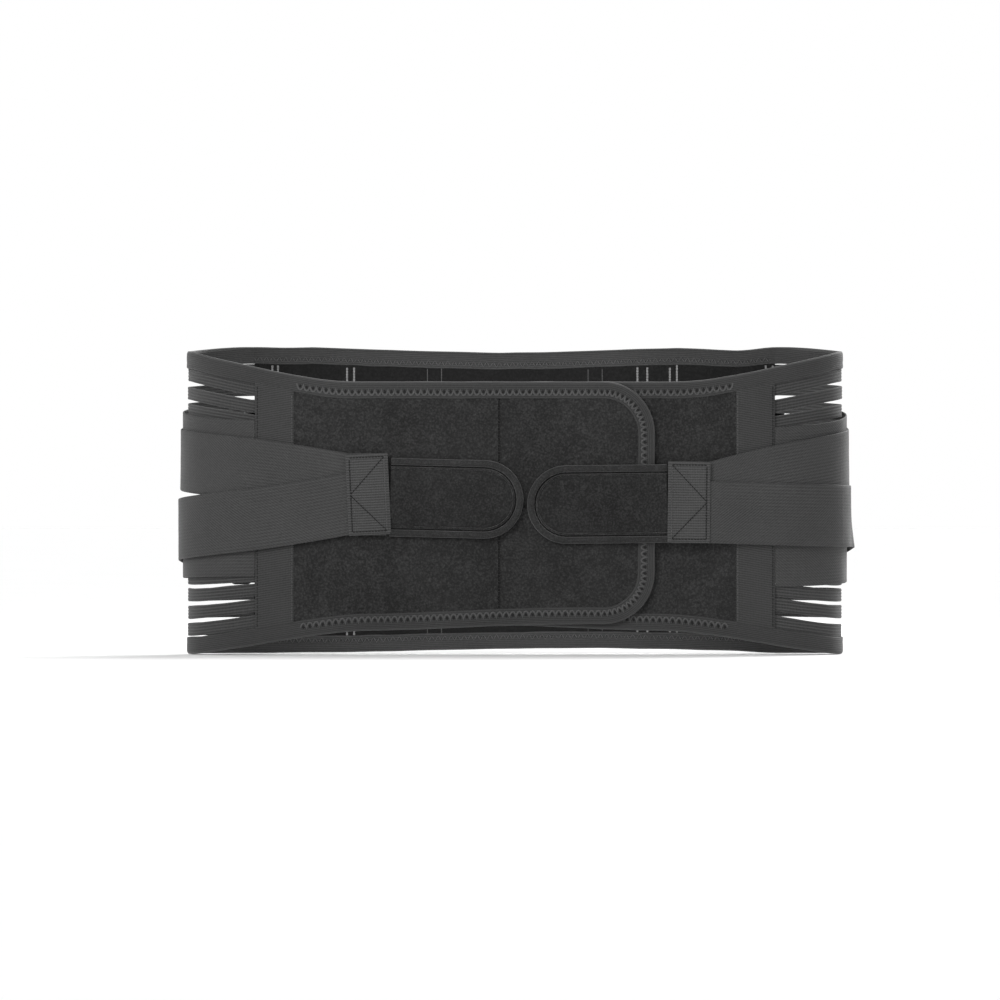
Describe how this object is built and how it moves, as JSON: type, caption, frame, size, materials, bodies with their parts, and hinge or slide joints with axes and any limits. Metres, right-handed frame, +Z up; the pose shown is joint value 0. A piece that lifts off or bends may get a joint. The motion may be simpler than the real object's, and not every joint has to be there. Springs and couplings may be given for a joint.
{
  "type": "back brace",
  "caption": "Elastic lumbar belt with mesh back, side ribs, stays, hook-and-loop front closure and ring-guided pull straps ending in padded tabs.",
  "frame": {"origin": "middle of the closed brace, at the height of its lower edge", "axes": "+X to the viewer's right as seen from the front, +Y towards the wearer's back, +Z up"},
  "size_m": [0.4748, 0.1336, 0.217],
  "materials": {
    "spacer_mesh": "matte knitted spacer mesh",
    "lining": "smooth matte lining",
    "stay_steel": "spring steel strip",
    "tape": "fine woven tape",
    "binding": "stretch binding tape, zigzag stitched",
    "elastic_band": "fine knitted elastic",
    "elastic_rib": "corded elastic",
    "webbing": "twill webbing with a slight sheen",
    "ring_plastic": "moulded, satin gloss",
    "loop_fabric": "brushed loop pile",
    "hook": "moulded hook sheet"
  },
  "bodies": {
    "root": {"back_mesh": "spacer_mesh", "back_lining": "lining", "back_stays": "stay_steel", "stay_tape_1": "tape", "stay_tape_2": "tape", "stay_tape_3": "tape", "stay_tape_4": "tape", "edge_tape_left": "tape", "edge_tape_right": "tape", "centre_tape": "tape", "back_binding_top": "binding", "back_binding_bottom": "binding", "band_left_upper": "elastic_band", "band_left_lower": "elastic_band", "band_right_upper": "elastic_band", "band_right_lower": "elastic_band", "ribs_left_rear": "elastic_rib", "ribs_right_rear": "elastic_rib", "strap_left_upper_loop": "webbing", "strap_left_lower_loop": "webbing", "strap_right_upper_loop": "webbing", "strap_right_lower_loop": "webbing"},
    "left_wing": {"ribs_left_front": "elastic_rib", "front_tape_left": "tape", "front_panel_left": "loop_fabric", "closure_flap": "loop_fabric", "closure_hook": "hook", "wing_binding_left": "binding", "strap_left_upper_side": "webbing", "strap_left_lower_side": "webbing"},
    "right_wing": {"ribs_right_front": "elastic_rib", "front_tape_right": "tape", "front_panel_right": "loop_fabric", "wing_binding_right": "binding", "strap_right_upper_side": "webbing", "strap_right_lower_side": "webbing"},
    "left_pull": {"strap_left_upper_pull": "webbing", "strap_left_lower_pull": "webbing", "patch_left": "webbing"},
    "right_pull": {"strap_right_upper_pull": "webbing", "strap_right_lower_pull": "webbing", "patch_right": "webbing"},
    "left_tab": {"tab_left": "loop_fabric", "tab_piping_left": "binding", "tab_hook_left": "hook"},
    "right_tab": {"tab_right": "loop_fabric", "tab_piping_right": "binding", "tab_hook_right": "hook"},
    "left_upper_ring": {"ring_left_upper": "ring_plastic"},
    "left_lower_ring": {"ring_left_lower": "ring_plastic"},
    "right_upper_ring": {"ring_right_upper": "ring_plastic"},
    "right_lower_ring": {"ring_right_lower": "ring_plastic"}
  },
  "joints": [
    {"name": "left_wing_open", "type": "hinge", "parent": "root", "child": "left_wing", "pos_m": [-0.24, 0.00445, 0.108], "axis": [0, 0, -1], "range_deg": [0, 75]},
    {"name": "right_wing_open", "type": "hinge", "parent": "root", "child": "right_wing", "pos_m": [0.24, 0.00445, 0.108], "axis": [0, 0, 1], "range_deg": [0, 37.5]},
    {"name": "left_pull_swing", "type": "hinge", "parent": "left_wing", "child": "left_pull", "pos_m": [-0.23452, -0.02559, 0.108], "axis": [0, 0, -1], "range_deg": [0, 110]},
    {"name": "right_pull_swing", "type": "hinge", "parent": "right_wing", "child": "right_pull", "pos_m": [0.23452, -0.02559, 0.108], "axis": [0, 0, 1], "range_deg": [0, 150]},
    {"name": "left_tab_peel", "type": "hinge", "parent": "left_pull", "child": "left_tab", "pos_m": [-0.0875, -0.06479, 0.108], "axis": [0, 0, -1], "range_deg": [0, 60]},
    {"name": "right_tab_peel", "type": "hinge", "parent": "right_pull", "child": "right_tab", "pos_m": [0.10662, -0.06345, 0.108], "axis": [0, 0, 1], "range_deg": [0, 60]},
    {"name": "left_upper_ring_swivel", "type": "hinge", "parent": "root", "child": "left_upper_ring", "pos_m": [-0.188, 0.06325, 0.1535], "axis": [0, 0, -1], "range_deg": [-6, 6]},
    {"name": "left_lower_ring_swivel", "type": "hinge", "parent": "root", "child": "left_lower_ring", "pos_m": [-0.188, 0.06325, 0.0745], "axis": [0, 0, -1], "range_deg": [-6, 6]},
    {"name": "right_upper_ring_swivel", "type": "hinge", "parent": "root", "child": "right_upper_ring", "pos_m": [0.188, 0.06325, 0.1535], "axis": [0, 0, 1], "range_deg": [-6, 6]},
    {"name": "right_lower_ring_swivel", "type": "hinge", "parent": "root", "child": "right_lower_ring", "pos_m": [0.188, 0.06325, 0.0745], "axis": [0, 0, 1], "range_deg": [-6, 6]}
  ],
  "couplings": [
    {"joint": "right_wing_open", "follows": "left_wing_open", "ratio": 0.5},
    {"joint": "right_pull_swing", "follows": "left_wing_open", "ratio": 2}
  ]
}
